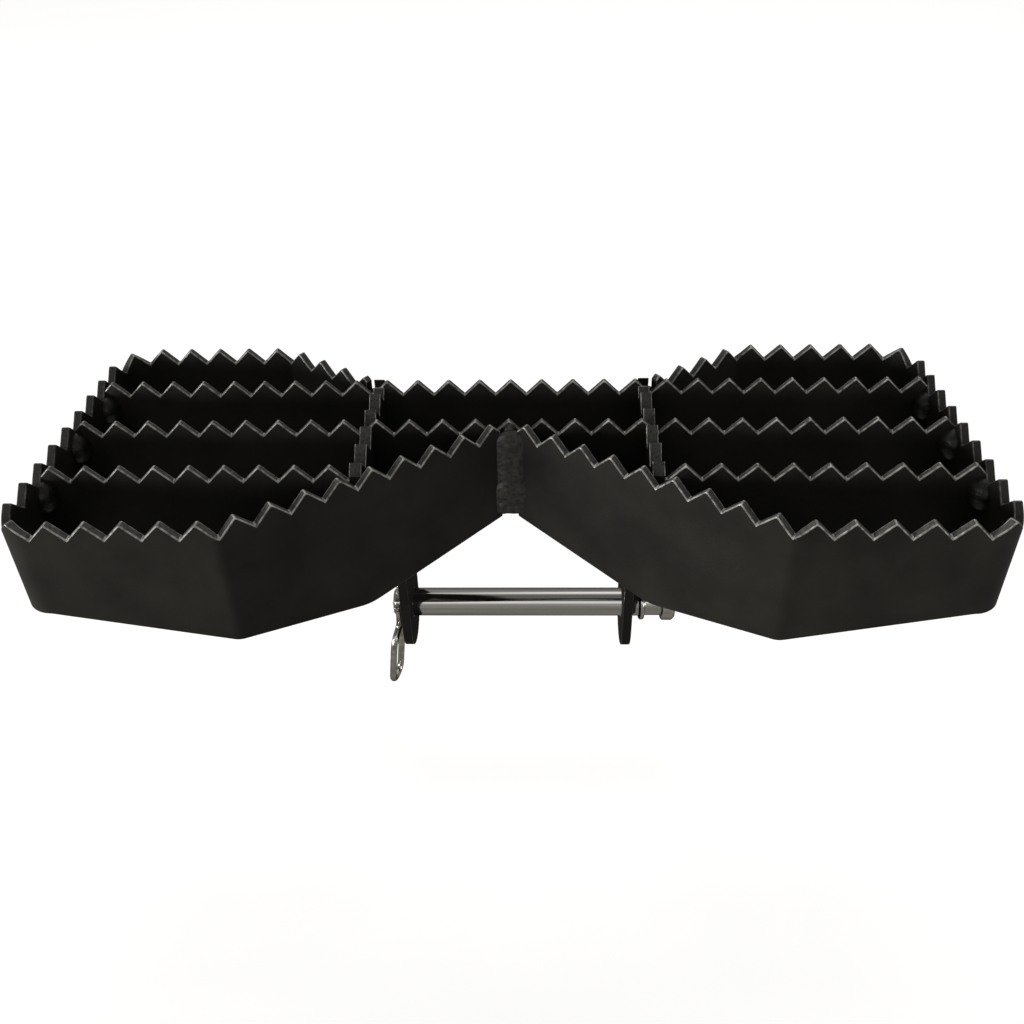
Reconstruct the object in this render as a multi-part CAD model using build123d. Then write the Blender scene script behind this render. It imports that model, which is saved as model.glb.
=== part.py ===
from build123d import *
from math import atan2, cos, pi, sin, tan
import os

os.makedirs("parts", exist_ok=True)

# Driving sizes in millimetres. The origin is on the pin axis midway between the ears,
# +X runs along the pin to its knob, +Y points to the vehicle and +Z is up.

# Step outline
step_width = 387.0
front_reach = 76.6
rear_reach = 71.5
front_bend_x = 108.0
rear_bend_x = 109.0
bar_spacing = 36.0
pin_setback = 56.4
tip_height = 152.0

# Saw teeth
pitch = 14.3
tip_land = 0.4
tooth_depth = (pitch - tip_land) / 2

# Rim strips
rim_thickness = 3.6
rim_depth = 43.5
apex_depth = 46.5
skirt_depth = 66.7
skirt_round = 18.0
front_corner_radius = 12.3
rear_corner_radius = 18.6
bend_radius = 7.2

# Bars
bar_thickness = 2.8
bar_depth = 40.0
lap_depth = 21.0
slot_clearance = 0.1
front_bar_setback = 0.9

# Ear plates
ear_spacing = 122.0
ear_thickness = 5.0
ear_width = 38.0
ear_drop = 26.0
plate_front_depth = 60.0
gusset_drop = 108.0
gusset_round = 22.0

# Pin
pin_diameter = 15.875
pin_clearance = 0.08
pin_overhang = 6.2
pin_chamfer = 1.4
collar_gap = 4.8
collar_diameter = 20.2
collar_length = 3.1
collar_chamfer = 0.8
neck_diameter = 15.2
neck_length = 9.3
knob_diameter = 20.6
knob_length = 7.6
knob_chamfer = 1.6

# Hairpin clip
wire_diameter = 3.8
wire_clearance = 0.08
clip_offset = 2.6
clip_tip_height = 13.0
clip_length = 54.0
clip_lean = 0.115
loop_width = 12.5
loop_height = 31.5
loop_flat = 0.7
loop_twist = 3.1
throat_gap = 0.6
throat_drop = 3.0
grip_gap = 0.3
grip_rise = 3.2
clip_flare = 2.6
flare_rise = 4.2

# Weld beads
apex_bead_half_width = 5.9
apex_bead_crown = 1.5
apex_bead_top = 2.6
apex_bead_lift = 1.0
bar_bead_leg = 6.5
bar_bead_top = 6.0
bar_bead_length = 16.0
bar_bead_facets = 5
corner_bead_leg = 4.5
corner_bead_crown = 0.6
corner_bead_top = 6.5
corner_bead_length = 34.0
rim_end_bead_reach = 1.0
bead_soften = 0.5

# Cutting: how far cutters pass the metal, and the shortest edge that is left
cutter_margin = 2.0
trim_margin = 10.0
least_edge = 0.05

# Levels and planes that follow from the sizes
middle_y = -pin_setback
rear_bar_y = middle_y + bar_spacing
rim_half = rim_thickness / 2
bar_half = bar_thickness / 2
ear_half = ear_thickness / 2
side_inner_x = step_width / 2 - rim_thickness
side_mid_x = step_width / 2 - rim_half
front_mid_y = middle_y - front_reach + rim_half
rear_mid_y = middle_y + rear_reach - rim_half
ear_mid_x = ear_spacing / 2
ear_inner_x = ear_mid_x - ear_half
ear_outer_x = ear_mid_x + ear_half
rear_bar_back_y = rear_bar_y + bar_half
middle_bar_front_y = middle_y - bar_half

# The front angled panels aim at the middle crossbar's centre, the rear angled panels at the corner
# between the rear crossbar and the ear plate. Each strip stops where its inner edge meets the bar.
front_angle = atan2(middle_y - front_mid_y, front_bend_x)
rear_angle = atan2(rear_mid_y - rear_bar_back_y, rear_bend_x - ear_outer_x)
rim_start_y = middle_bar_front_y - rim_half * cos(front_angle)
rim_start_x = (middle_y - rim_start_y) / tan(front_angle)
rim_end_y = rear_bar_back_y + rim_half * cos(rear_angle)
rim_end_x = ear_outer_x + (rim_end_y - rear_bar_back_y) / tan(rear_angle)


def front_panel_point(x, side):
    """Plan point at x on the inner (side 1), middle (0) or outer (-1) face line of the front angled panel."""
    shift = side * rim_half
    run = (x - shift * sin(front_angle)) / cos(front_angle)
    return (x, middle_y + shift * cos(front_angle) - run * sin(front_angle))


# The ear plates end on the front angled panels, and the front bars stand just behind those ends
plate_front_y = front_panel_point(ear_inner_x, 1)[1]
front_bar_front_y = plate_front_y + front_bar_setback
front_bar_y = front_bar_front_y + bar_half


def tooth_height(u, peak):
    """Height of a saw-toothed edge at u, below its tips."""
    away = abs((u - peak + pitch / 2) % pitch - pitch / 2)
    return -max(0.0, away - tip_land / 2)


def toothed_edge(start, end, peak):
    """Points of a saw-toothed edge from start to end, with one tip at peak."""
    points = [(start, tooth_height(start, peak))]
    index = int((start - peak) // pitch)
    while peak + index * pitch < end + pitch:
        tip = peak + index * pitch
        corners = [(tip - tip_land / 2, 0), (tip + tip_land / 2, 0), (tip + pitch / 2, -tooth_depth)]
        points += [c for c in corners if start + least_edge < c[0] < end - least_edge]
        index += 1
    points.append((end, tooth_height(end, peak)))
    return [(u, tip_height + h) for u, h in points]


# Rim strip: swept flat strip, teeth spaced along the bent strip, skirt cut under it
rim_path = FilletPolyline(
    (rim_start_x, rim_start_y, tip_height),
    (front_bend_x, front_mid_y, tip_height),
    (side_mid_x, front_mid_y, tip_height),
    (side_mid_x, rear_mid_y, tip_height),
    (rear_bend_x, rear_mid_y, tip_height),
    (rim_end_x, rim_end_y, tip_height),
    radius=[
        bend_radius - rim_half,
        front_corner_radius - rim_half,
        rear_corner_radius - rim_half,
        bend_radius - rim_half,
    ],
)
rim_length = rim_path.length


def rim_plane(distance):
    """Section plane across the strip at a developed distance, also a little past its ends."""
    inside = min(max(distance, 0.0), rim_length)
    tangent = rim_path.tangent_at(inside, position_mode=PositionMode.LENGTH)
    origin = rim_path.position_at(inside, position_mode=PositionMode.LENGTH)
    return Plane(origin + tangent * (distance - inside), x_dir=(0, 0, 1), z_dir=tangent)


def tooth_space(distance):
    """Space between two teeth: it follows the bends, so that every tip stays square to the strip."""
    across = rim_thickness + 2 * cutter_margin
    half = (pitch - tip_land) / 2
    sections = []
    for step, depth in ((-half, 0.0), (0.0, tooth_depth), (half, 0.0)):
        section = Pos((cutter_margin - depth) / 2, 0) * Rectangle(cutter_margin + depth, across)
        sections.append(rim_plane(distance + step) * section)
    return loft(sections, ruled=True)


def skirt_line_depth(distance, corner_distance):
    """Depth of the straight lower edge between its lowest point and the front corner."""
    lowest = ear_mid_x / cos(front_angle)
    part = (distance - lowest) / (corner_distance - lowest)
    return skirt_depth + part * (rim_depth - skirt_depth)


def right_rim_solid():
    strip_section = Rectangle(skirt_depth, rim_thickness, align=(Align.MAX, Align.CENTER))
    strip = sweep(rim_plane(0) * strip_section, path=rim_path)
    # The front panel's tips line up with the tips of the bars
    first_on_front = pitch * (int(front_bend_x // pitch) + 1)
    bend_loss = (bend_radius - rim_half) * (2 * tan(front_angle / 2) - front_angle)
    to_bend = (front_bend_x - rim_start_x) / cos(front_angle)
    tip = to_bend - bend_loss + first_on_front - front_bend_x
    valley = (tip + pitch / 2) % pitch - pitch
    spaces = []
    while valley < rim_length + pitch / 2:
        spaces.append(tooth_space(valley))
        valley += pitch
    corner_x = side_mid_x - (front_corner_radius - rim_half)
    bend_run = front_bend_x / cos(front_angle)
    bend_depth = skirt_line_depth(bend_run, bend_run + corner_x - front_bend_x)
    far_x = step_width
    low = tip_height - skirt_depth - trim_margin
    outline = Polyline(
        (-pitch, tip_height - apex_depth),
        (0, tip_height - apex_depth),
        (ear_mid_x, tip_height - skirt_depth),
        (front_bend_x, tip_height - bend_depth),
        (corner_x, tip_height - rim_depth),
        (far_x, tip_height - rim_depth),
        (far_x, low),
        (-pitch, low),
        close=True,
    )
    face = make_face(outline)
    lowest = face.vertices().sort_by_distance((ear_mid_x, tip_height - skirt_depth, 0))[0]
    face = fillet(lowest, skirt_round)
    front_plane = Plane((0, middle_y, 0), x_dir=(1, 0, 0), z_dir=(0, -1, 0))
    front_cut = extrude(front_plane * face, amount=front_reach + trim_margin)
    rear_cut = Pos(0, middle_y, low) * Box(
        far_x,
        rear_reach + trim_margin,
        tip_height - rim_depth - low,
        align=(Align.MIN, Align.MIN, Align.MIN),
    )
    return strip - spaces - front_cut - rear_cut


# Bars: saw-toothed flat bars, slotted from below where they cross the ear plates
def bar_solid(start, end, y, slots):
    edge = toothed_edge(start, end, 0.0)
    low = tip_height - bar_depth
    face = make_face(Polyline(*edge, (end, low), (start, low), close=True))
    plane = Plane((0, y, 0), x_dir=(1, 0, 0), z_dir=(0, -1, 0))
    bar = extrude(plane * face, amount=bar_half, both=True)
    for x in slots:
        bar -= Pos(x, y, low) * Box(
            ear_thickness + 2 * slot_clearance,
            2 * bar_thickness,
            bar_depth - lap_depth,
            align=(Align.CENTER, Align.CENTER, Align.MIN),
        )
    return bar


# Ear plate: toothed top, slots from above for the crossbars, gusset and round ear with the pin hole
ear_front_y = -ear_width / 2
ear_back_y = ear_width / 2
ear_round = ear_width / 2 - least_edge


def ear_plate_solid(x):
    peak = rear_bar_back_y
    edge = toothed_edge(plate_front_y, peak, peak)
    back_top = tip_height - (ear_back_y - rear_bar_back_y)
    outline = Polyline(
        *edge,
        (ear_back_y, back_top),
        (ear_back_y, -ear_drop),
        (ear_front_y, -ear_drop),
        (ear_front_y, tip_height - gusset_drop),
        (plate_front_y, tip_height - plate_front_depth),
        close=True,
    )
    face = make_face(outline)
    ends = face.vertices().group_by(Axis.Y)[0]
    face = fillet(ends, ear_round)
    knee = face.vertices().sort_by_distance((ear_front_y, tip_height - gusset_drop, 0))[0]
    face = fillet(knee, gusset_round)
    face -= Circle(pin_diameter / 2 + pin_clearance)
    plane = Plane((x, 0, 0), x_dir=(0, 1, 0), z_dir=(1, 0, 0))
    plate = extrude(plane * face, amount=ear_half, both=True)
    for y in (middle_y, rear_bar_y):
        plate -= Pos(x, y, tip_height - lap_depth) * Box(
            2 * ear_thickness,
            bar_thickness + 2 * slot_clearance,
            2 * lap_depth,
            align=(Align.CENTER, Align.CENTER, Align.MIN),
        )
    return plate


# Weld beads: each lies face to face against the plates that it joins
def bead(points, crown, top, length):
    """Bead with the given plan outline; its last two points carry the bulging free face."""
    middle = Vector(*points[-1]) * 0.5 + Vector(*points[-2]) * 0.5
    along = Vector(*points[-1]) - Vector(*points[-2])
    outward = Vector(along.Y, -along.X).normalized()
    backs = Polyline(points[-1], *points[:-1])
    free = ThreePointArc(points[-2], middle + outward * crown, points[-1])
    plan = make_face([*backs.edges(), free])
    solid = extrude(Pos(0, 0, tip_height - top - length) * plan, amount=length)
    free_edges = solid.edges().filter_by(GeomType.CIRCLE)
    return chamfer(free_edges, bead_soften)


def apex_weld_solid():
    edge = front_panel_point(apex_bead_half_width, -1)
    end_inner = (
        rim_start_x + rim_half * sin(front_angle),
        rim_start_y + rim_half * cos(front_angle),
    )
    end_outer = (
        rim_start_x - rim_half * sin(front_angle),
        rim_start_y - rim_half * cos(front_angle),
    )
    right = [end_inner, end_outer]
    left = [(-x, y) for x, y in right]
    points = [right[1], right[0], left[0], left[1], (-edge[0], edge[1]), edge]
    length = apex_depth - apex_bead_lift - apex_bead_top
    solid = bead(points, apex_bead_crown, apex_bead_top, length)
    high = tip_height - apex_bead_top
    round_top = make_face(
        [
            Line((edge[0], 0), (-edge[0], 0)),
            Line((-edge[0], 0), (-edge[0], high - edge[0])),
            ThreePointArc((-edge[0], high - edge[0]), (0, high), (edge[0], high - edge[0])),
            Line((edge[0], high - edge[0]), (edge[0], 0)),
        ]
    )
    plane = Plane((0, middle_y, 0), x_dir=(1, 0, 0), z_dir=(0, -1, 0))
    return solid & extrude(plane * round_top, amount=front_reach)


def bar_weld_solid(y):
    """Egg-shaped blob of weld in the corner of a bar's front face and the end panel, in flat facets."""
    half = bar_bead_length / 2
    middle = tip_height - bar_bead_top - half
    turns = [i * pi / bar_bead_facets for i in range(bar_bead_facets + 1)]
    swell = [(-bar_bead_leg * sin(turn), middle - half * cos(turn)) for turn in turns]
    upright = make_face(Polyline(*swell, close=True))
    headings = [i * pi / 2 / bar_bead_facets for i in range(bar_bead_facets + 1)]
    free = [(-bar_bead_leg * cos(heading), -bar_bead_leg * sin(heading)) for heading in headings]
    plan = make_face(Polyline((0, 0), *free, close=True))
    blob = extrude(plan, amount=tip_height)
    blob &= extrude(Plane.XZ * upright, amount=bar_bead_leg)
    blob &= extrude(Plane.YZ * upright, amount=-bar_bead_leg)
    return Pos(side_inner_x, y - bar_half, 0) * blob


def ear_plate_weld_solid():
    reach = ear_outer_x + corner_bead_leg
    panel_end = front_panel_point(reach, 1)
    points = [
        (ear_outer_x, front_bar_front_y),
        (ear_outer_x, plate_front_y),
        (ear_inner_x, plate_front_y),
        panel_end,
        (reach, front_bar_front_y),
    ]
    return bead(points, corner_bead_crown, corner_bead_top, corner_bead_length)


def rim_end_weld_solid():
    inner = (rim_end_x + rim_half * sin(rear_angle), rim_end_y - rim_half * cos(rear_angle))
    outer = (rim_end_x - rim_half * sin(rear_angle), rim_end_y + rim_half * cos(rear_angle))
    points = [
        (ear_outer_x, rear_bar_back_y),
        inner,
        outer,
        (ear_outer_x, outer[1] + rim_end_bead_reach),
    ]
    plan = make_face(Polyline(*points, close=True))
    top = tip_height - corner_bead_top
    return extrude(Pos(0, 0, top - corner_bead_length) * plan, amount=corner_bead_length)


# Hitch pin: one turned piece, drilled across its free end
pin_end_x = -(ear_outer_x + pin_overhang)
collar_x = ear_outer_x + collar_gap
neck_x = collar_x + collar_length
knob_x = neck_x + neck_length
knob_end_x = knob_x + knob_length
clip_x = -(ear_outer_x + clip_offset)


def hitch_pin_solid():
    shank = pin_diameter / 2
    collar = collar_diameter / 2
    neck = neck_diameter / 2
    knob = knob_diameter / 2
    edge = collar_chamfer
    outline = Polyline(
        (pin_end_x, 0),
        (pin_end_x, shank - pin_chamfer),
        (pin_end_x + pin_chamfer, shank),
        (collar_x, shank),
        (collar_x, collar - edge),
        (collar_x + edge, collar),
        (neck_x - edge, collar),
        (neck_x, collar - edge),
        (neck_x, neck),
        (knob_x, neck),
        (knob_x, knob - edge),
        (knob_x + edge, knob),
        (knob_end_x - knob_chamfer, knob),
        (knob_end_x, knob - knob_chamfer),
        (knob_end_x, 0),
        close=True,
    )
    pin = revolve(make_face(outline), axis=Axis.X)
    hole = Pos(clip_x, 0, 0) * Cylinder(wire_diameter / 2 + wire_clearance, 2 * pin_diameter)
    return pin - hole


# Hairpin clip: straight leg through the pin, long loop that leans and twists outwards below it, and a
# grip leg that closes in at the throat, lies before the pin and flares at its tip
def hairpin_clip_solid():
    wire = wire_diameter / 2
    grip = pin_diameter / 2 + grip_gap + wire
    throat_y = -(wire_diameter + throat_gap)
    throat_z = -(grip + throat_drop)
    away = (throat_y ** 2 + throat_z ** 2) ** 0.5
    touch = atan2(-throat_y, -throat_z) + atan2((away ** 2 - grip ** 2) ** 0.5, grip)
    knee_z = -grip / tan((touch + pi / 2) / 2)
    low = -(clip_length - wire)
    loop_round = (loop_width - loop_flat) / 2
    lean_z = -grip
    loop_z = low + loop_height
    low_x = clip_x - clip_lean * (lean_z - low)
    loop_x = clip_x - clip_lean * (lean_z - loop_z)
    throat_x = clip_x + clip_lean * (throat_z - lean_z) + loop_twist * throat_y / loop_width
    path = FilletPolyline(
        (clip_x, 0, clip_tip_height),
        (clip_x, 0, lean_z),
        (low_x, 0, low),
        (low_x - loop_twist, -loop_width, low),
        (loop_x - loop_twist, -loop_width, loop_z),
        (throat_x, throat_y, throat_z),
        (clip_x, -grip, knee_z),
        (clip_x, -grip, grip_rise),
        (clip_x, -grip - clip_flare, grip_rise + flare_rise),
        radius=[grip, loop_round, loop_round, loop_width, wire_diameter, grip, wire_diameter],
    )
    start = Plane(path @ 0, z_dir=path % 0)
    clip = sweep(start * Circle(wire), path=path)
    return clip


def left_of(solid):
    return mirror(solid, about=Plane.YZ)


parts = {}
parts["right_rim"] = right_rim_solid()
parts["left_rim"] = left_of(parts["right_rim"])
crossings = (-ear_mid_x, ear_mid_x)
parts["rear_crossbar"] = bar_solid(-side_inner_x, side_inner_x, rear_bar_y, crossings)
parts["middle_crossbar"] = bar_solid(-side_inner_x, side_inner_x, middle_y, crossings)
parts["right_front_bar"] = bar_solid(ear_outer_x, side_inner_x, front_bar_y, ())
parts["left_front_bar"] = left_of(parts["right_front_bar"])
parts["right_ear_plate"] = ear_plate_solid(ear_mid_x)
parts["left_ear_plate"] = left_of(parts["right_ear_plate"])
parts["apex_weld"] = apex_weld_solid()
for row, row_y in (("rear", rear_bar_y), ("middle", middle_y), ("front", front_bar_y)):
    parts["right_" + row + "_bar_weld"] = bar_weld_solid(row_y)
    parts["left_" + row + "_bar_weld"] = left_of(parts["right_" + row + "_bar_weld"])
parts["right_ear_plate_weld"] = ear_plate_weld_solid()
parts["left_ear_plate_weld"] = left_of(parts["right_ear_plate_weld"])
parts["right_rim_end_weld"] = rim_end_weld_solid()
parts["left_rim_end_weld"] = left_of(parts["right_rim_end_weld"])
parts["hitch_pin"] = hitch_pin_solid()
parts["hairpin_clip"] = hairpin_clip_solid()

for node, shape in parts.items():
    solids = shape.solids()
    whole = solids[0] if len(solids) == 1 else Compound(children=list(solids))
    export_step(whole, "parts/" + node + ".step")
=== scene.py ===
import math

import bmesh
import bpy
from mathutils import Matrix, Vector


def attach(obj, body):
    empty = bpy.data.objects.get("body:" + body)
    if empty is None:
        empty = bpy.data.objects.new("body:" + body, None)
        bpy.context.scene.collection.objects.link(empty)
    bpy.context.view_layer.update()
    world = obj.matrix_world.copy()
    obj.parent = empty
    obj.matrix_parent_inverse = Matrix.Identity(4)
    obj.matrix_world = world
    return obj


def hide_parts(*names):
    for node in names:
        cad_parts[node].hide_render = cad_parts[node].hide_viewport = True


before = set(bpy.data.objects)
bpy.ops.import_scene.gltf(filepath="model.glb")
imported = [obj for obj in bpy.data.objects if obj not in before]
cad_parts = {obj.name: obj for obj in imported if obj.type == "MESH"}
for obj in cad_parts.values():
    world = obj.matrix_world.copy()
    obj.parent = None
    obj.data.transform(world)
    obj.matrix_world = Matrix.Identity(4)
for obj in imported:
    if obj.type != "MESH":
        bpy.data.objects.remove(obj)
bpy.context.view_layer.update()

# Rim strips
# Two strips of 3.6 mm steel plate, laser cut with saw teeth along the top, then bent into a C for each
# wing. They are welded to the bars and powder coated satin black with the rest of the step.
TIP_LEVEL = 0.152
PITCH = 0.0143
STEPS_PER_TOOTH = 20.0
MIDDLE_BAR_Y = -0.0564
FRONT_PANEL_Y = -0.1312
REAR_PANEL_Y = 0.0133
END_PANEL_X = 0.1917
FRONT_BEND_X = 0.108
REAR_BEND_X = 0.109
MERGE_DISTANCE = 0.000002
PLATE_EDGE_ANGLE = 50
PLATE_SOFT_ANGLE = 18


def add_node(tree, kind, **settings):
    node = tree.nodes.new(kind)
    for name, value in settings.items():
        setattr(node, name, value)
    return node


def feed(tree, socket, value):
    """A number or colour stays on the socket; another node's output is linked to it."""
    if isinstance(value, bpy.types.NodeSocket):
        tree.links.new(value, socket)
    else:
        socket.default_value = value


def calc(tree, operation, first, second=0.0, third=0.0):
    node = add_node(tree, "ShaderNodeMath", operation=operation)
    for socket, value in zip(node.inputs, (first, second, third)):
        feed(tree, socket, value)
    return node.outputs[0]


def parts_of(tree, vector):
    node = add_node(tree, "ShaderNodeSeparateXYZ")
    tree.links.new(vector, node.inputs[0])
    return node.outputs


def vector_of(tree, **parts):
    node = add_node(tree, "ShaderNodeCombineXYZ")
    for axis, value in parts.items():
        feed(tree, node.inputs[axis], value)
    return node.outputs[0]


def noise(tree, place, scale, detail):
    texture = add_node(tree, "ShaderNodeTexNoise")
    texture.inputs["Scale"].default_value = scale
    texture.inputs["Detail"].default_value = detail
    tree.links.new(place, texture.inputs["Vector"])
    return texture.outputs["Fac"]


def spread(tree, value, before=(0.0, 1.0), after=(0.0, 1.0)):
    """A value's span before becomes its span after, and it stops at the ends."""
    node = add_node(tree, "ShaderNodeMapRange")
    for name, limit in zip(("From Min", "From Max", "To Min", "To Max"), (*before, *after)):
        node.inputs[name].default_value = limit
    tree.links.new(value, node.inputs["Value"])
    return node.outputs[0]


def two_tones(tree, value, low, high):
    """Colours between two stops, each a place on the value's scale and a colour."""
    ramp = add_node(tree, "ShaderNodeValToRGB")
    for stop, (place, colour) in zip(ramp.color_ramp.elements, (low, high)):
        stop.position = place
        stop.color = (*colour, 1)
    tree.links.new(value, ramp.inputs["Fac"])
    return ramp.outputs["Color"]


def blend(tree, share, first, second, kind="RGBA"):
    """Mix of two colours, or of two numbers where the kind is FLOAT."""
    node = add_node(tree, "ShaderNodeMix", data_type=kind)
    first_socket, second_socket, result = {"FLOAT": (2, 3, 0), "RGBA": (6, 7, 2)}[kind]
    tree.links.new(share, node.inputs["Factor"])
    feed(tree, node.inputs[first_socket], first)
    feed(tree, node.inputs[second_socket], second)
    return node.outputs[result]


def bump(tree, height, strength, distance, under=None):
    """Relief of the surface, on top of a coarser one where that is given."""
    node = add_node(tree, "ShaderNodeBump")
    node.inputs["Strength"].default_value = strength
    node.inputs["Distance"].default_value = distance
    tree.links.new(height, node.inputs["Height"])
    if under is not None:
        tree.links.new(under, node.inputs["Normal"])
    return node.outputs["Normal"]


def new_finish(name):
    finish = bpy.data.materials.new(name)
    finish.use_nodes = True
    tree = finish.node_tree
    return finish, tree, tree.nodes["Principled BSDF"], add_node(tree, "ShaderNodeTexCoord").outputs


def dress(tree, shader, colour, roughness, relief):
    tree.links.new(colour, shader.inputs["Base Color"])
    tree.links.new(roughness, shader.inputs["Roughness"])
    tree.links.new(relief, shader.inputs["Normal"])


def powder_coat(name, dark, light, gloss, shine, highlight_share, cloud_scale=38.0, peel_strength=0.22):
    """Black powder coat: orange peel, faint clouds, and a painted highlight in lighter grey on what faces
    upwards.

    The first share of that painted highlight holds where a face looks across the step's length, the second
    where it looks along it."""
    coat, tree, shader, place = new_finish(name)
    clouds = noise(tree, place["Object"], scale=cloud_scale, detail=4.0)
    peel = noise(tree, place["Object"], scale=950.0, detail=3.0)
    grit = noise(tree, place["Object"], scale=2600.0, detail=1.0)
    facing = parts_of(tree, place["Normal"])
    # Lighter grey on what faces upwards, more where a face looks towards the side lamps: a painted
    # highlight.
    crest = spread(tree, facing["Z"], (0.30, 0.68))
    highlight_by_facing = spread(tree, calc(tree, "ABSOLUTE", facing["X"]), (0.15, 0.55), highlight_share)
    warm = (1.0, 0.93, 0.80)
    dark_black = [dark * part for part in warm]
    light_black = [light * part for part in warm]
    body = two_tones(tree, clouds, (0.30, dark_black), (0.72, light_black))
    highlight_grey = two_tones(tree, peel, (0.25, (0.036, 0.035, 0.032)), (0.80, (0.112, 0.109, 0.101)))
    paint = blend(tree, calc(tree, "MULTIPLY", crest, highlight_by_facing), body, highlight_grey)
    satin = spread(tree, clouds, after=gloss)
    orange_peel = bump(tree, peel, strength=peel_strength, distance=0.00025)
    relief = bump(tree, grit, strength=0.16, distance=0.0001, under=orange_peel)
    shader.inputs["Specular IOR Level"].default_value = shine
    dress(tree, shader, paint, satin, relief)
    return coat


coat = powder_coat(
    "satin_black_powder_coat",
    dark=0.0132,
    light=0.0235,
    gloss=(0.38, 0.50),
    shine=0.12,
    highlight_share=(0.22, 1.0),
)


def edge_highlight_coat():
    """Thin powder coat on the narrow rounds along the plates' edges: near black, with a painted highlight in
    mottled grey on what faces upwards.
    """
    edge, tree, shader, place = new_finish("painted_highlight_edge_coat")
    highlight_mottle = noise(tree, place["Object"], scale=420.0, detail=5.0)
    grey = two_tones(tree, highlight_mottle, (0.34, (0.110, 0.106, 0.097)), (0.64, (0.480, 0.466, 0.435)))
    highlight_by_facing = spread(tree, parts_of(tree, place["Normal"])["Z"], (0.0, 0.4))
    out = calc(tree, "ABSOLUTE", parts_of(tree, place["Object"])["X"])
    # Less of the painted highlight on the edges at the end panels.
    inward = spread(tree, out, (0.184, 0.189), (1.0, 0.3))
    # Edges that don't face upwards stay near black, darker than the coat: painted shade.
    edge_without_highlight = (0.003, 0.0028, 0.0025, 1)
    paint = blend(tree, calc(tree, "MULTIPLY", highlight_by_facing, inward), edge_without_highlight, grey)
    gloss = spread(tree, highlight_mottle, after=(0.24, 0.42))
    shader.inputs["Specular IOR Level"].default_value = 0.45
    dress(tree, shader, paint, gloss, bump(tree, highlight_mottle, strength=0.2, distance=0.0001))
    return edge


edge_coat = edge_highlight_coat()


def shape_group(name, source, sizes, places, result):
    """Empty node group with inputs for a shape, sizes, places and a finish, and an output for a shape."""
    tree = bpy.data.node_groups.new(name, "GeometryNodeTree")
    sockets = tree.interface
    sockets.new_socket(source, in_out="INPUT", socket_type="NodeSocketGeometry")
    for size, value in sizes:
        socket = sockets.new_socket(size, in_out="INPUT", socket_type="NodeSocketFloat")
        socket.default_value = value
    for place in places:
        sockets.new_socket(place, in_out="INPUT", socket_type="NodeSocketVector")
    sockets.new_socket("Finish", in_out="INPUT", socket_type="NodeSocketMaterial")
    sockets.new_socket(result, in_out="OUTPUT", socket_type="NodeSocketGeometry")
    return tree, add_node(tree, "NodeGroupInput").outputs


def give_coated(tree, shape, finish):
    real = add_node(tree, "GeometryNodeRealizeInstances")
    tree.links.new(shape, real.inputs[0])
    coated = add_node(tree, "GeometryNodeSetMaterial")
    tree.links.new(real.outputs[0], coated.inputs["Geometry"])
    tree.links.new(finish, coated.inputs["Material"])
    done = add_node(tree, "NodeGroupOutput")
    tree.links.new(coated.outputs[0], done.inputs[0])


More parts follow.
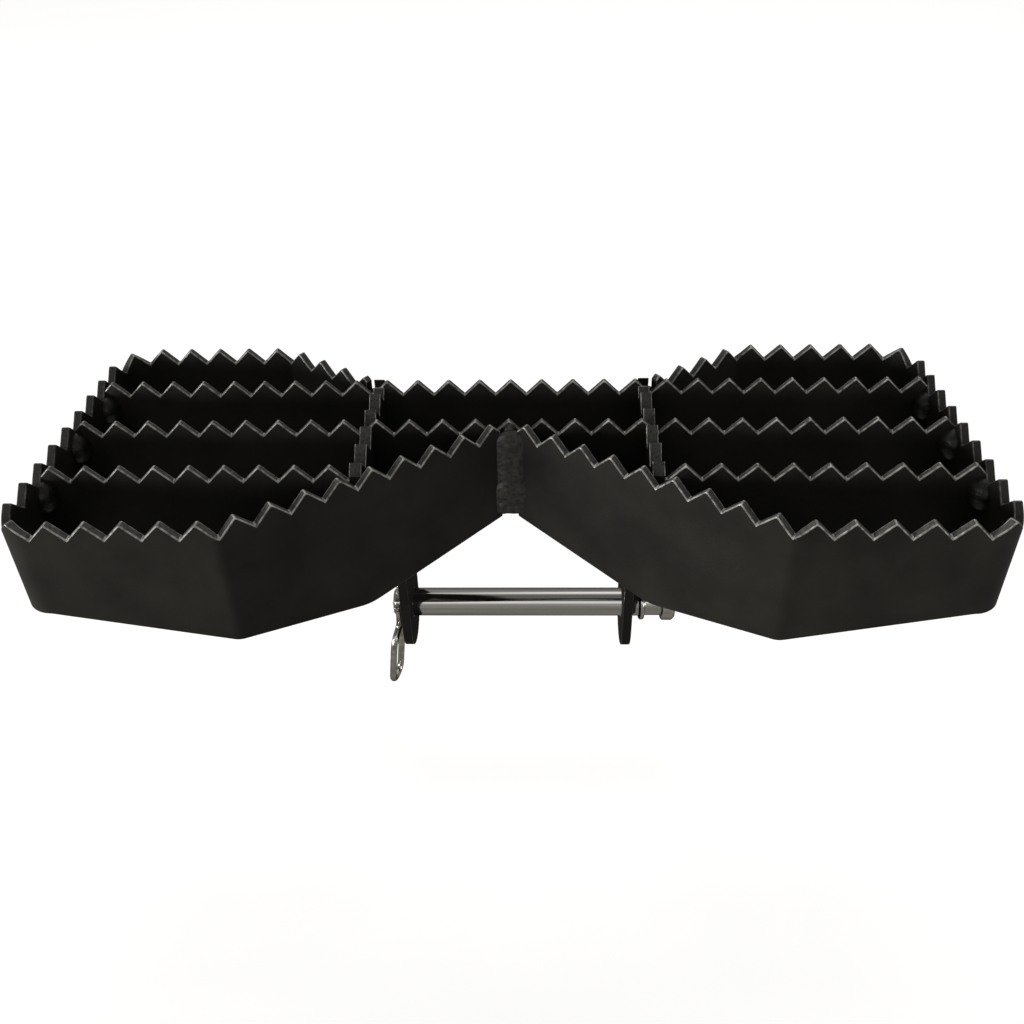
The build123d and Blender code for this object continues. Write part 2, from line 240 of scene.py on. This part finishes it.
def saw_toothed_strip():
    """Strip that follows a bent midline: teeth counted along the bends above, a skirt line below."""
    sizes = (
        ("Pitch", PITCH),
        ("Steps Per Tooth", STEPS_PER_TOOTH),
        ("First Tip", 0.0),
        ("Tip Land", 0.0004),
        ("Tip Level", TIP_LEVEL),
        ("Thickness", 0.0036),
        ("Level Depth", 0.0435),
        ("Apex Depth", 0.0465),
        ("Skirt Depth", 0.0667),
        ("Skirt At", 0.0610),
        ("Skirt End", 0.1812),
        ("Front Of", MIDDLE_BAR_Y),
    )
    points_per_bend = 24
    step_slack = 0.01
    skirt_round = 0.003
    tree, given = shape_group("saw_toothed_strip", "Midline", sizes, (), "Strip")
    link = tree.links.new
    # Midline with round bends, sampled a whole number of steps to each tooth
    bends = add_node(tree, "GeometryNodeFilletCurve", mode="POLY")
    radius = add_node(tree, "GeometryNodeInputRadius")
    bends.inputs["Count"].default_value = points_per_bend
    link(given["Midline"], bends.inputs["Curve"])
    link(radius.outputs[0], bends.inputs["Radius"])
    length = add_node(tree, "GeometryNodeCurveLength")
    link(bends.outputs[0], length.inputs[0])
    step = calc(tree, "DIVIDE", given["Pitch"], given["Steps Per Tooth"])
    all_steps = calc(tree, "DIVIDE", length.outputs[0], step)
    steps = calc(tree, "FLOOR", calc(tree, "ADD", all_steps, step_slack))
    cut = add_node(tree, "GeometryNodeTrimCurve", mode="LENGTH")
    end_length = cut.inputs[5]
    link(bends.outputs[0], cut.inputs[0])
    link(calc(tree, "MULTIPLY", steps, step), end_length)
    even = add_node(tree, "GeometryNodeResampleCurve", mode="COUNT")
    link(cut.outputs[0], even.inputs["Curve"])
    link(calc(tree, "ADD", steps, 1.0), even.inputs["Count"])
    along = add_node(tree, "GeometryNodeSplineParameter")
    keep = add_node(tree, "GeometryNodeCaptureAttribute", domain="POINT")
    keep.capture_items.new("FLOAT", "Along")
    link(even.outputs[0], keep.inputs[0])
    link(along.outputs["Length"], keep.inputs[1])
    wire = add_node(tree, "GeometryNodeCurveToMesh")
    link(keep.outputs[0], wire.inputs["Curve"])
    # Saw teeth
    half = calc(tree, "MULTIPLY", given["Pitch"], 0.5)
    from_tip = calc(tree, "PINGPONG", calc(tree, "SUBTRACT", keep.outputs[1], given["First Tip"]), half)
    land = calc(tree, "MULTIPLY", given["Tip Land"], 0.5)
    fall = calc(tree, "MAXIMUM", calc(tree, "SUBTRACT", from_tip, land), 0.0)
    teeth = add_node(tree, "GeometryNodeSetPosition")
    link(wire.outputs[0], teeth.inputs["Geometry"])
    link(vector_of(tree, Z=calc(tree, "SUBTRACT", given["Tip Level"], fall)), teeth.inputs["Offset"])
    # Web of the strip down to the skirt line
    web = add_node(tree, "GeometryNodeExtrudeMesh", mode="EDGES")
    link(teeth.outputs[0], web.inputs["Mesh"])
    link(vector_of(tree, Z=-1.0), web.inputs["Offset"])
    link(given["Level Depth"], web.inputs["Offset Scale"])
    where = add_node(tree, "GeometryNodeInputPosition")
    spot = parts_of(tree, where.outputs[0])
    out = calc(tree, "ABSOLUTE", spot["X"])
    deeper = calc(tree, "SUBTRACT", given["Skirt Depth"], given["Apex Depth"])
    rise = calc(tree, "DIVIDE", deeper, given["Skirt At"])
    inner = calc(tree, "MULTIPLY_ADD", rise, out, given["Apex Depth"])
    reach = calc(tree, "SUBTRACT", given["Skirt End"], given["Skirt At"])
    shallower = calc(tree, "SUBTRACT", given["Level Depth"], given["Skirt Depth"])
    drop = calc(tree, "DIVIDE", shallower, reach)
    past = calc(tree, "SUBTRACT", out, given["Skirt At"])
    outer = calc(tree, "MULTIPLY_ADD", drop, past, given["Skirt Depth"])
    lower_edge = calc(tree, "SMOOTH_MIN", inner, outer, skirt_round)
    skirt = calc(tree, "MAXIMUM", lower_edge, given["Level Depth"])
    in_front = calc(tree, "LESS_THAN", spot["Y"], given["Front Of"])
    extra = calc(tree, "MULTIPLY", calc(tree, "SUBTRACT", skirt, given["Level Depth"]), in_front)
    depth = calc(tree, "ADD", given["Level Depth"], extra)
    foot = vector_of(tree, X=spot["X"], Y=spot["Y"], Z=calc(tree, "SUBTRACT", given["Tip Level"], depth))
    hem = add_node(tree, "GeometryNodeSetPosition")
    link(web.outputs["Mesh"], hem.inputs["Geometry"])
    link(web.outputs["Top"], hem.inputs["Selection"])
    link(foot, hem.inputs["Position"])
    # Plate thickness, half to each side of the midline
    normal = add_node(tree, "GeometryNodeInputNormal")
    back = add_node(tree, "ShaderNodeVectorMath", operation="SCALE")
    link(normal.outputs[0], back.inputs[0])
    link(calc(tree, "MULTIPLY", given["Thickness"], -0.5), back.inputs["Scale"])
    inside = add_node(tree, "GeometryNodeSetPosition")
    link(hem.outputs[0], inside.inputs["Geometry"])
    link(back.outputs[0], inside.inputs["Offset"])
    plate = add_node(tree, "GeometryNodeExtrudeMesh", mode="FACES")
    plate.inputs["Individual"].default_value = False
    link(inside.outputs[0], plate.inputs["Mesh"])
    link(given["Thickness"], plate.inputs["Offset Scale"])
    turned = add_node(tree, "GeometryNodeFlipFaces")
    link(inside.outputs[0], turned.inputs[0])
    both = add_node(tree, "GeometryNodeJoinGeometry")
    link(turned.outputs[0], both.inputs[0])
    link(plate.outputs["Mesh"], both.inputs[0])
    closed = add_node(tree, "GeometryNodeMergeByDistance")
    closed.inputs["Distance"].default_value = MERGE_DISTANCE
    link(both.outputs[0], closed.inputs["Geometry"])
    give_coated(tree, closed.outputs[0], given["Finish"])
    return tree


strip_tree = saw_toothed_strip()


def set_inputs(modifier, values):
    for item in modifier.node_group.interface.items_tree:
        if item.item_type == "SOCKET" and item.name in values:
            modifier[item.identifier] = values[item.name]


def add_piece(name, data):
    piece = bpy.data.objects.new(name, data)
    bpy.context.scene.collection.objects.link(piece)
    return piece


def finished_shape(piece):
    return bpy.data.meshes.new_from_object(piece.evaluated_get(bpy.context.evaluated_depsgraph_get()))


def plain_mesh(piece, name, soft_angle):
    """The finished shape as a plain mesh piece, faces outwards and smooth up to the given angle."""
    shape = finished_shape(piece)
    shape.name = name
    work = bmesh.new()
    work.from_mesh(shape)
    bmesh.ops.remove_doubles(work, verts=work.verts, dist=MERGE_DISTANCE)
    bmesh.ops.recalc_face_normals(work, faces=work.faces)
    work.to_mesh(shape)
    work.free()
    shape.shade_smooth()
    shape.set_sharp_from_angle(angle=math.radians(soft_angle))
    bpy.data.objects.remove(piece)
    return add_piece(name, shape)


def soften_edges(piece, width, angle):
    """Powder and tumbling leave no knife edges: each sharp edge gets a small round in the last finish."""
    edge = piece.modifiers.new("edge", "BEVEL")
    edge.width = width
    edge.segments = 2
    edge.limit_method = "ANGLE"
    edge.angle_limit = math.radians(angle)
    edge.use_clamp_overlap = False
    edge.miter_outer = "MITER_SHARP"
    edge.material = len(piece.data.materials) - 1


def toothed_strip(name, points, radii, values):
    """Coated strip with saw teeth, along a line of corners with a bend radius at each."""
    line = bpy.data.curves.new(name, "CURVE")
    line.dimensions = "3D"
    spline = line.splines.new("POLY")
    spline.points.add(len(points) - 1)
    for point, (x, y), radius in zip(spline.points, points, radii):
        point.co = (x, y, 0.0, 1.0)
        point.radius = radius
    midline = add_piece(name, line)
    strip = midline.modifiers.new("strip", "NODES")
    strip.node_group = strip_tree
    set_inputs(strip, dict(values, Finish=coat))
    shape = finished_shape(midline)
    shape.materials.append(edge_coat)
    bpy.data.objects.remove(midline)
    holder = add_piece(name + "_shape", shape)
    soften_edges(holder, width=0.0005, angle=PLATE_EDGE_ANGLE)
    finished = plain_mesh(holder, name, PLATE_SOFT_ANGLE)
    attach(finished, "step")
    return finished


front_slope = math.atan2(MIDDLE_BAR_Y - FRONT_PANEL_Y, FRONT_BEND_X)
start_x = 0.004158
start_y = -0.059280
start_shift = 0.000337
rear_end = (0.065567, -0.017532)
right_midline = [
    (start_x + start_shift * math.cos(front_slope), start_y - start_shift * math.sin(front_slope)),
    (FRONT_BEND_X, FRONT_PANEL_Y),
    (END_PANEL_X, FRONT_PANEL_Y),
    (END_PANEL_X, REAR_PANEL_Y),
    (REAR_BEND_X, REAR_PANEL_Y),
    rear_end,
]
bend_radii = [0.0, 0.0054, 0.0105, 0.0168, 0.0054, 0.0]
rim_values = {"First Tip": 0.003575}
right_rim = toothed_strip("right_rim_strip", right_midline, bend_radii, rim_values)
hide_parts("right_rim")
left_midline = [(-x, y) for x, y in right_midline]
left_rim = toothed_strip("left_rim_strip", left_midline, bend_radii, rim_values)
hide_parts("left_rim")

# Crossbars and front bars
# Flat steel bars 2.8 mm thick with the same saw teeth. The two long ones run from end panel to end panel
# and drop into slots of the ear plates; the short front ones start at an ear plate. All are welded in.
REAR_BAR_Y = -0.0204
FRONT_BAR_Y = -0.09243
tooth_step = PITCH / STEPS_PER_TOOTH
outer_end = 0.1899
inner_end = 0.0635
outer_tip = 13 * PITCH
inner_tip = 5 * PITCH
run_in = math.ceil((outer_end - outer_tip) / tooth_step) * tooth_step
run_from_plate = math.ceil((inner_tip - inner_end) / tooth_step) * tooth_step
bar_values = {"Thickness": 0.0028, "Level Depth": 0.040, "Front Of": -1.0, "First Tip": run_in}
no_bends = [0.0, 0.0]
for bar_name, bar_y in (("rear_crossbar", REAR_BAR_Y), ("middle_crossbar", MIDDLE_BAR_Y)):
    ends = [(-outer_tip - run_in, bar_y), (outer_tip + run_in, bar_y)]
    long_bar = toothed_strip(bar_name + "_strip", ends, no_bends, bar_values)
    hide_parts(bar_name)
for side, sign in (("right", 1.0), ("left", -1.0)):
    ends = [(sign * (outer_tip + run_in), FRONT_BAR_Y), (sign * (inner_tip - run_from_plate), FRONT_BAR_Y)]
    short_bar = toothed_strip(side + "_front_bar_strip", ends, no_bends, bar_values)
    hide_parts(side + "_front_bar")

# Ear plates
# Two 5 mm steel plates that stand fore and aft under the tread. Their upper edge carries the same teeth,
# slots take the crossbars, and each runs down behind the rear crossbar to a round ear with the pin hole.


def softened_copy(node, name, finishes, width, angle, soft_angle, flat=True):
    """Copy of a solid's surface, merged, with small rounds on its edges in the last of its finishes."""
    same_plane_angle = 0.6
    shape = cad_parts[node].data.copy()
    work = bmesh.new()
    work.from_mesh(shape)
    bmesh.ops.remove_doubles(work, verts=work.verts, dist=MERGE_DISTANCE)
    if flat:
        limit = math.radians(same_plane_angle)
        bmesh.ops.dissolve_limit(work, angle_limit=limit, verts=work.verts, edges=work.edges)
    work.to_mesh(shape)
    work.free()
    shape.materials.clear()
    for finish in finishes:
        shape.materials.append(finish)
    holder = add_piece(name + "_shape", shape)
    soften_edges(holder, width, angle)
    return plain_mesh(holder, name, soft_angle)


# Matte copy of the coat for the ear plates, with a colour about half as dark: painted shade for their place
# under the tread.
shaded_ear_coat = powder_coat(
    "matte_shaded_ear_black_powder_coat",
    dark=0.0070,
    light=0.0130,
    gloss=(0.70, 0.84),
    shine=0.05,
    highlight_share=(0.6, 0.6),
)
ear_finishes = (shaded_ear_coat, edge_coat)
ear_edge = 0.0003
for side in ("left", "right"):
    plate = side + "_ear_plate"
    ear = softened_copy(plate, plate + "_coated", ear_finishes, ear_edge, PLATE_EDGE_ANGLE, PLATE_SOFT_ANGLE)
    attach(ear, "step")
    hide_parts(side + "_ear_plate")

# Weld beads
# Runs of weld metal laid by hand in the corners of the plates, proud and rippled, and coated with the rest.
# The widest fills the groove where both rims meet the middle crossbar; egg-shaped ones hold the bars' ends.


def weld_bead():
    """One run of weld: round ends, ripples that sag like scales, lumps, and flat where a plate stops it."""
    sizes = (
        ("Length", 0.04),
        ("Half Width", 0.006),
        ("Bulge", 0.005),
        ("Root", 0.005),
        ("End Round", 0.005),
        ("Ripple Pitch", 0.002),
        ("Ripple Height", 0.0001),
        ("Ripple Sag", 0.002),
        ("Lump Height", 0.0003),
        ("Lump Scale", 300.0),
        ("Seed", 0.0),
    )
    mean_ripple = 0.6
    mean_lump = 0.5
    tree, given = shape_group("weld_bead", "Laid Before", sizes, ("Top", "Low Wall", "High Wall"), "Bead")
    link = tree.links.new
    # Tube of unit size, drawn in to a round end at the top and at the bottom
    tube = add_node(tree, "GeometryNodeMeshCylinder", fill_type="NONE")
    tube.inputs["Vertices"].default_value = 56
    tube.inputs["Side Segments"].default_value = 110
    tube.inputs["Radius"].default_value = 1.0
    tube.inputs["Depth"].default_value = 1.0
    unit = add_node(tree, "GeometryNodeInputPosition")
    spot = parts_of(tree, unit.outputs[0])
    from_middle = calc(tree, "ABSOLUTE", calc(tree, "MULTIPLY", spot["Z"], given["Length"]))
    less_end = calc(tree, "MULTIPLY", given["End Round"], -1.0)
    straight = calc(tree, "MULTIPLY_ADD", given["Length"], 0.5, less_end)
    past = calc(tree, "MAXIMUM", calc(tree, "SUBTRACT", from_middle, straight), 0.0)
    into_end = calc(tree, "DIVIDE", past, given["End Round"])
    left_over = calc(tree, "SUBTRACT", 1.0, calc(tree, "MULTIPLY", into_end, into_end))
    draw_in = calc(tree, "SQRT", calc(tree, "MAXIMUM", left_over, 0.0))
    drop = calc(tree, "MULTIPLY", calc(tree, "SUBTRACT", spot["Z"], 0.5), given["Length"])
    # Ripples and lumps
    sag = calc(tree, "MULTIPLY", calc(tree, "POWER", spot["X"], 2.0), given["Ripple Sag"])
    wave = calc(tree, "DIVIDE", calc(tree, "ADD", drop, sag), given["Ripple Pitch"])
    scale_edge = calc(tree, "ABSOLUTE", calc(tree, "SINE", calc(tree, "MULTIPLY", wave, math.pi)))
    ripple = calc(tree, "MULTIPLY", calc(tree, "SUBTRACT", scale_edge, mean_ripple), given["Ripple Height"])
    wide = calc(tree, "MULTIPLY", calc(tree, "MULTIPLY", spot["X"], draw_in), given["Half Width"])
    behind = calc(tree, "GREATER_THAN", spot["Y"], 0.0)
    more = calc(tree, "SUBTRACT", given["Root"], given["Bulge"])
    reach = calc(tree, "MULTIPLY_ADD", behind, more, given["Bulge"])
    deep = calc(tree, "MULTIPLY", calc(tree, "MULTIPLY", spot["Y"], draw_in), reach)
    lumps = add_node(tree, "ShaderNodeTexNoise", noise_dimensions="4D")
    lumps.inputs["Detail"].default_value = 3.0
    link(vector_of(tree, X=wide, Y=deep, Z=drop), lumps.inputs["Vector"])
    link(given["Seed"], lumps.inputs["W"])
    link(given["Lump Scale"], lumps.inputs["Scale"])
    lump = calc(tree, "MULTIPLY", calc(tree, "SUBTRACT", lumps.outputs[0], mean_lump), given["Lump Height"])
    swell = calc(tree, "MULTIPLY", calc(tree, "ADD", ripple, lump), draw_in)
    grown_wide = calc(tree, "MULTIPLY_ADD", spot["X"], swell, wide)
    grown_deep = calc(tree, "MULTIPLY_ADD", spot["Y"], swell, deep)
    placed = add_node(tree, "ShaderNodeVectorMath", operation="ADD")
    link(vector_of(tree, X=grown_wide, Y=grown_deep, Z=drop), placed.inputs[0])
    link(given["Top"], placed.inputs[1])
    # Stopped inside the plates
    lower = add_node(tree, "ShaderNodeVectorMath", operation="MAXIMUM")
    link(placed.outputs[0], lower.inputs[0])
    link(given["Low Wall"], lower.inputs[1])
    upper = add_node(tree, "ShaderNodeVectorMath", operation="MINIMUM")
    link(lower.outputs[0], upper.inputs[0])
    link(given["High Wall"], upper.inputs[1])
    run = add_node(tree, "GeometryNodeSetPosition")
    link(tube.outputs[0], run.inputs["Geometry"])
    link(upper.outputs[0], run.inputs["Position"])
    both = add_node(tree, "GeometryNodeJoinGeometry")
    link(run.outputs[0], both.inputs[0])
    link(given["Laid Before"], both.inputs[0])
    give_coated(tree, both.outputs[0], given["Finish"])
    return tree


weld_tree = weld_bead()
# Copy of the coat for the beads, reaching about twice as light: painted light on the lumps of the apex and
# plate beads.
lit_bead_coat = powder_coat(
    "weld_black_powder_coat",
    dark=0.0120,
    light=0.0480,
    gloss=(0.40, 0.56),
    shine=0.30,
    highlight_share=(0.1, 0.1),
    cloud_scale=420.0,
    peel_strength=0.6,
)
# Darker copy of the coat for the egg-shaped beads at the bars' ends: painted shade for their place in the
# corners of the cells.
shaded_corner_coat = powder_coat(
    "corner_weld_black_powder_coat",
    dark=0.0060,
    light=0.0180,
    gloss=(0.30, 0.44),
    shine=0.40,
    highlight_share=(0.0, 0.0),
    cloud_scale=240.0,
    peel_strength=0.4,
)
BEAD_SOFT_ANGLE = 75


def lay_weld(name, node, runs, finish=lit_bead_coat):
    """Bead of one or more runs, each laid over the ones before it."""
    holder = add_piece(name + "_shape", bpy.data.meshes.new(name))
    for values in runs:
        bead = holder.modifiers.new("bead", "NODES")
        bead.node_group = weld_tree
        set_inputs(bead, dict(values, Finish=finish))
    finished = plain_mesh(holder, name, BEAD_SOFT_ANGLE)
    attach(finished, "step")
    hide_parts(node)


apex_foot = TIP_LEVEL - 0.0442
apex_walls = {"Low Wall": (-1.0, -1.0, apex_foot), "High Wall": (1.0, -0.0572, TIP_LEVEL)}
apex_first_run = {
    "Length": 0.0345,
    "Half Width": 0.0070,
    "Bulge": 0.0020,
    "Root": 0.0050,
    "End Round": 0.0068,
    "Ripple Pitch": 0.0026,
    "Ripple Height": 0.00012,
    "Ripple Sag": 0.0040,
    "Lump Height": 0.0008,
    "Lump Scale": 380.0,
    "Seed": 1.4,
    "Top": (0.0011, -0.0614, TIP_LEVEL - 0.0030),
}
apex_second_run = {
    "Length": 0.0300,
    "Half Width": 0.0080,
    "Bulge": 0.0024,
    "Root": 0.0050,
    "End Round": 0.0075,
    "Ripple Pitch": 0.0034,
    "Ripple Height": 0.00016,
    "Ripple Sag": 0.0060,
    "Lump Height": 0.0011,
    "Lump Scale": 300.0,
    "Seed": 3.1,
    "Top": (0.0013, -0.0619, TIP_LEVEL - 0.0262),
}
apex_start = {
    "Length": 0.0085,
    "Half Width": 0.0030,
    "Bulge": 0.0022,
    "Root": 0.0020,
    "End Round": 0.0030,
    "Ripple Height": 0.0,
    "Lump Height": 0.0006,
    "Lump Scale": 420.0,
    "Seed": 5.2,
    "Top": (0.0004, -0.0580, TIP_LEVEL - 0.0012),
}
apex_drip = {
    "Length": 0.0075,
    "Half Width": 0.0026,
    "Bulge": 0.0018,
    "Root": 0.0020,
    "End Round": 0.0024,
    "Ripple Height": 0.0,
    "Lump Height": 0.0008,
    "Lump Scale": 420.0,
    "Seed": 7.7,
    "Top": (-0.0030, -0.0624, TIP_LEVEL - 0.0380),
    "Low Wall": (-1.0, -1.0, 0.0),
}
apex_runs = [dict(apex_walls, **run) for run in (apex_first_run, apex_second_run, apex_start, apex_drip)]
lay_weld("apex_bead", "apex_weld", apex_runs)
# Row of bars, its middle plane, how far below the tips the bead starts, the bead's length and its seed
bar_rows = (
    ("rear", REAR_BAR_Y, 0.0062, 0.0136, 0.3),
    ("middle", MIDDLE_BAR_Y, 0.0044, 0.0145, 2.6),
    ("front", FRONT_BAR_Y, 0.0056, 0.0142, 4.9),
)
half_bar = 0.0014
bar_bead_x = 0.1897
bar_bead_lead = 0.0003
into_bar = 0.0012
plate_bead_drop = 0.0065
plate_bead_walls = {"Low Wall": (-0.1, -0.1, 0.0), "High Wall": (0.1, 0.0, TIP_LEVEL)}
for side, sign in (("left", -1.0), ("right", 1.0)):
    for row, bar_y, row_drop, row_length, seed in bar_rows:
        bar_face = bar_y - half_bar
        bar_run = {
            "Length": row_length,
            "Half Width": 0.0052,
            "Bulge": 0.0080,
            "End Round": 0.5 * row_length,
            "Ripple Pitch": 0.0036,
            "Ripple Height": 0.00006,
            "Ripple Sag": 0.0020,
            "Lump Height": 0.0014,
            "Lump Scale": 190.0,
            "Seed": seed + 0.7 * sign,
            "Top": (sign * bar_bead_x, bar_face - bar_bead_lead, TIP_LEVEL - row_drop),
            "Low Wall": (-END_PANEL_X, -1.0, 0.0),
            "High Wall": (END_PANEL_X, bar_face + into_bar, TIP_LEVEL),
        }
        lay_weld(side + "_" + row + "_bar_bead", side + "_" + row + "_bar_weld", [bar_run], shaded_corner_coat)
    plate_run = {
        "Length": 0.0340,
        "Half Width": 0.0040,
        "Bulge": 0.0034,
        "End Round": 0.0030,
        "Ripple Pitch": 0.0022,
        "Ripple Height": 0.00010,
        "Ripple Sag": 0.0020,
        "Lump Height": 0.0009,
        "Seed": 6.3 + sign,
        "Top": (sign * 0.0645, -0.0953, TIP_LEVEL - plate_bead_drop),
    }
    lay_weld(side + "_ear_plate_bead", side + "_ear_plate_weld", [dict(plate_bead_walls, **plate_run)])
    rim_end_run = {
        "Length": 0.0340,
        "Half Width": 0.0026,
        "Bulge": 0.0028,
        "End Round": 0.0030,
        "Ripple Pitch": 0.0022,
        "Ripple Height": 0.00010,
        "Ripple Sag": 0.0015,
        "Lump Height": 0.0007,
        "Seed": 8.1 + sign,
        "Top": (sign * 0.0643, -0.0168, TIP_LEVEL - plate_bead_drop),
    }
    lay_weld(side + "_rim_end_bead", side + "_rim_end_weld", [dict(plate_bead_walls, **rim_end_run)])

# Hitch pin
# One piece of 5/8 inch bright drawn bar, turned down behind a collar to make a grip knob, chamfered and
# drilled across at its free end. Bare polished steel, with fine lines from drawing and turning.
# Reflections at grazing angles on the pin and wire held dark: painted shade standing for dark surroundings
# seen at their edges.
GRAZING_TINT = (0.15, 0.145, 0.135, 1)


def bright_steel():
    steel, tree, shader, place = new_finish("bright_drawn_steel")
    along = add_node(tree, "ShaderNodeMapping")
    along.inputs["Scale"].default_value = (6.0, 900.0, 900.0)
    tree.links.new(place["Object"], along.inputs["Vector"])
    lines = noise(tree, along.outputs[0], scale=1.0, detail=4.0)
    haze = noise(tree, place["Object"], scale=90.0, detail=3.0)
    tone = two_tones(tree, lines, (0.30, (0.56, 0.545, 0.505)), (0.70, (0.82, 0.80, 0.745)))
    gloss = spread(tree, haze, after=(0.08, 0.15))
    shader.inputs["Metallic"].default_value = 1.0
    shader.inputs["Specular Tint"].default_value = GRAZING_TINT
    dress(tree, shader, tone, gloss, bump(tree, lines, strength=0.10, distance=0.00006))
    return steel


pin = softened_copy(
    "hitch_pin",
    "hitch_pin_turned",
    (bright_steel(),),
    width=0.00025,
    angle=30,
    soft_angle=28,
)
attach(pin, "pin")
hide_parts("hitch_pin")

# Hairpin clip
# Spring wire 3.8 mm thick, bent into a loop with one straight leg through the pin's cross hole and one
# that lies before the pin and flares at its tip. Plain bright wire, slightly dull from tempering.


def spring_wire():
    wire, tree, shader, place = new_finish("tempered_spring_wire")
    mottle = noise(tree, place["Object"], scale=260.0, detail=4.0)
    tone = two_tones(tree, mottle, (0.32, (0.46, 0.44, 0.39)), (0.70, (0.85, 0.82, 0.74)))
    gloss = spread(tree, mottle, after=(0.12, 0.24))
    shader.inputs["Metallic"].default_value = 1.0
    shader.inputs["Specular Tint"].default_value = GRAZING_TINT
    dress(tree, shader, tone, gloss, bump(tree, mottle, strength=0.08, distance=0.00005))
    return wire


clip = softened_copy(
    "hairpin_clip",
    "hairpin_clip_wire",
    (spring_wire(),),
    width=0.00035,
    angle=50,
    soft_angle=40,
    flat=False,
)
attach(clip, "clip")
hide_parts("hairpin_clip")

# Studio
# Pale floor just below the drawn clip, in a dark room with one bright strip high in front and one overhead
# behind. A low lamp at the left, weaker ones at the right and high behind, and a camera above the front.
scene = bpy.context.scene
scene.view_settings.view_transform = "Standard"
floor_level = -0.082
half_floor = 9.0
corners = [(x * half_floor, y * half_floor, floor_level) for x, y in ((-1, -1), (1, -1), (1, 1), (-1, 1))]
floor_mesh = bpy.data.meshes.new("studio_floor")
floor_mesh.from_pydata(corners, [], [(0, 1, 2, 3)])
floor = add_piece("studio_floor", floor_mesh)


def seen_directly(tree, in_gloss):
    """1 where the background is seen by the camera or through glass, and a share of it in gloss."""
    path = add_node(tree, "ShaderNodeLightPath")
    gloss = calc(tree, "MULTIPLY", path.outputs["Is Glossy Ray"], in_gloss)
    direct = calc(tree, "MAXIMUM", path.outputs["Is Camera Ray"], gloss)
    return calc(tree, "MAXIMUM", direct, path.outputs["Is Transmission Ray"])


def pale_floor():
    """Grey paper that takes the shadows, lifted to white where it is seen directly."""
    lift = 0.875
    paper = bpy.data.materials.new("pale_paper_floor")
    paper.use_nodes = True
    tree = paper.node_tree
    tree.nodes.clear()
    sheet = add_node(tree, "ShaderNodeBsdfDiffuse")
    sheet.inputs["Color"].default_value = (0.30, 0.285, 0.26, 1)
    white = add_node(tree, "ShaderNodeEmission")
    white.inputs["Color"].default_value = (1, 1, 1, 1)
    glow = calc(tree, "MULTIPLY", seen_directly(tree, in_gloss=0.08), lift)
    tree.links.new(glow, white.inputs["Strength"])
    both = add_node(tree, "ShaderNodeAddShader")
    tree.links.new(sheet.outputs[0], both.inputs[0])
    tree.links.new(white.outputs[0], both.inputs[1])
    result = add_node(tree, "ShaderNodeOutputMaterial")
    tree.links.new(both.outputs[0], result.inputs["Surface"])
    return paper


floor_mesh.materials.append(pale_floor())

world = bpy.data.worlds.new("studio_world")
world.use_nodes = True
scene.world = world
sky = world.node_tree
background = sky.nodes["Background"]
background.inputs["Color"].default_value = (1, 1, 1, 1)
heading = add_node(sky, "ShaderNodeTexCoord")
toward = parts_of(sky, heading.outputs["Generated"])
from_front = calc(sky, "ARCTAN2", toward["Z"], calc(sky, "MULTIPLY", toward["Y"], -1.0))
room = add_node(sky, "ShaderNodeValToRGB")
sky.links.new(calc(sky, "DIVIDE", from_front, math.pi), room.inputs["Fac"])
# Brightness over the head, from the front horizon at 0 to the rear horizon at 1
room_levels = (
    (0.00, 0.22),
    (0.12, 0.32),
    (0.165, 0.95),
    (0.21, 0.95),
    (0.255, 0.09),
    (0.56, 0.09),
    (0.64, 1.00),
    (0.70, 1.00),
    (0.76, 0.16),
    (1.00, 0.07),
)
side_level = 0.08
seen_level = 1.0
stops = room.color_ramp.elements
while len(stops) < len(room_levels):
    stops.new(0.5)
for stop, (place, bright) in zip(stops, room_levels):
    stop.position = place
    stop.color = (bright, bright, bright, 1)
aside = spread(sky, calc(sky, "ABSOLUTE", toward["X"]), (0.45, 0.75))
lit = blend(sky, aside, room.outputs["Color"], side_level, "FLOAT")
level = blend(sky, seen_directly(sky, in_gloss=0.1), lit, seen_level, "FLOAT")
sky.links.new(level, background.inputs["Strength"])

step_middle = Vector((0.0, -0.09, 0.10))


def soft_box(name, place, size, watts):
    """Rectangular lamp aimed at the middle of the step."""
    lamp = bpy.data.lights.new(name, "AREA")
    lamp.shape = "RECTANGLE"
    lamp.size, lamp.size_y = size
    lamp.energy = watts
    box = add_piece(name, lamp)
    box.location = place
    aim = step_middle - Vector(place)
    box.rotation_euler = aim.to_track_quat("-Z", "Y").to_euler()
    return box


soft_box("key_left", (-2.57, -1.57, 0.27), size=(1.5, 0.5), watts=88.0)
soft_box("fill_right", (2.57, -1.57, 0.27), size=(1.5, 0.5), watts=19.0)
behind = soft_box("fill_behind", (0.0, 1.63, 2.56), size=(1.5, 0.8), watts=26.0)
behind.visible_glossy = False

lens = bpy.data.cameras.new("photo_camera")
lens.sensor_fit = "HORIZONTAL"
lens.sensor_width = 36.0
lens.lens = 34.266
camera = add_piece("photo_camera", lens)
camera.location = (0.014317, -0.420199, 0.363740)
camera.rotation_euler = (math.radians(54.3806), math.radians(1.1505), math.radians(1.3539))
scene.camera = camera
